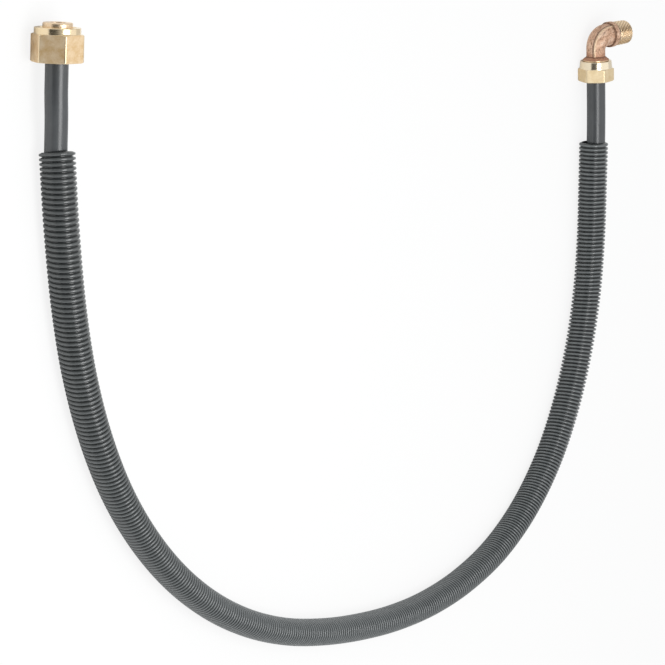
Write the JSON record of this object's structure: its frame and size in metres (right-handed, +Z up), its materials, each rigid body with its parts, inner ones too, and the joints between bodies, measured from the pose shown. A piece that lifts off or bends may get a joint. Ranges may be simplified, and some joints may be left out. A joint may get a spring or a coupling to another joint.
{
  "type": "flexible pipe",
  "caption": "A length of plastic water pipe in a corrugated conduit, lying in a wide U, with a brass union nut on one end and a cast elbow with a male thread on the other",
  "frame": {"origin": "on the floor, under the middle of the box round the whole part", "axes": "+Z up from the floor that the part lies on; +X from the union's leg of the U across to the elbow's leg, the longest way; +Y from the bottom of the U towards the two ends"},
  "size_m": [0.7536, 0.5208, 0.032],
  "materials": {
    "pipe_plastic": "satin dark grey",
    "conduit_plastic": "moulded, dull grey",
    "brass": "bright turned brass",
    "pale_brass": "paler turned brass",
    "gunmetal": "rough pinkish casting",
    "seal_rubber": "matte black"
  },
  "bodies": {
    "hose": {"inner_pipe": "pipe_plastic", "corrugated_conduit": "conduit_plastic", "union_insert": "gunmetal", "union_spigot_seal_a": "seal_rubber", "union_spigot_seal_b": "seal_rubber", "union_cone_seal": "seal_rubber", "elbow_body": "gunmetal", "elbow_nut": "pale_brass", "elbow_clamp_ring": "brass", "elbow_spigot_seal_a": "seal_rubber", "elbow_spigot_seal_b": "seal_rubber"},
    "union_clamp_ring": {"union_clamp_ring": "brass"},
    "union_nut": {"union_nut": "brass"}
  },
  "joints": [
    {"name": "union_nut_slide", "type": "slide", "parent": "hose", "child": "union_clamp_ring", "axis": [0.1116, -0.9938, 0], "range_m": [0, 0.02]},
    {"name": "union_nut_spin", "type": "hinge", "parent": "union_clamp_ring", "child": "union_nut", "pos_m": [-0.35641, 0.17008, 0.016], "axis": [-0.1116, 0.9938, 0], "continuous": true}
  ]
}
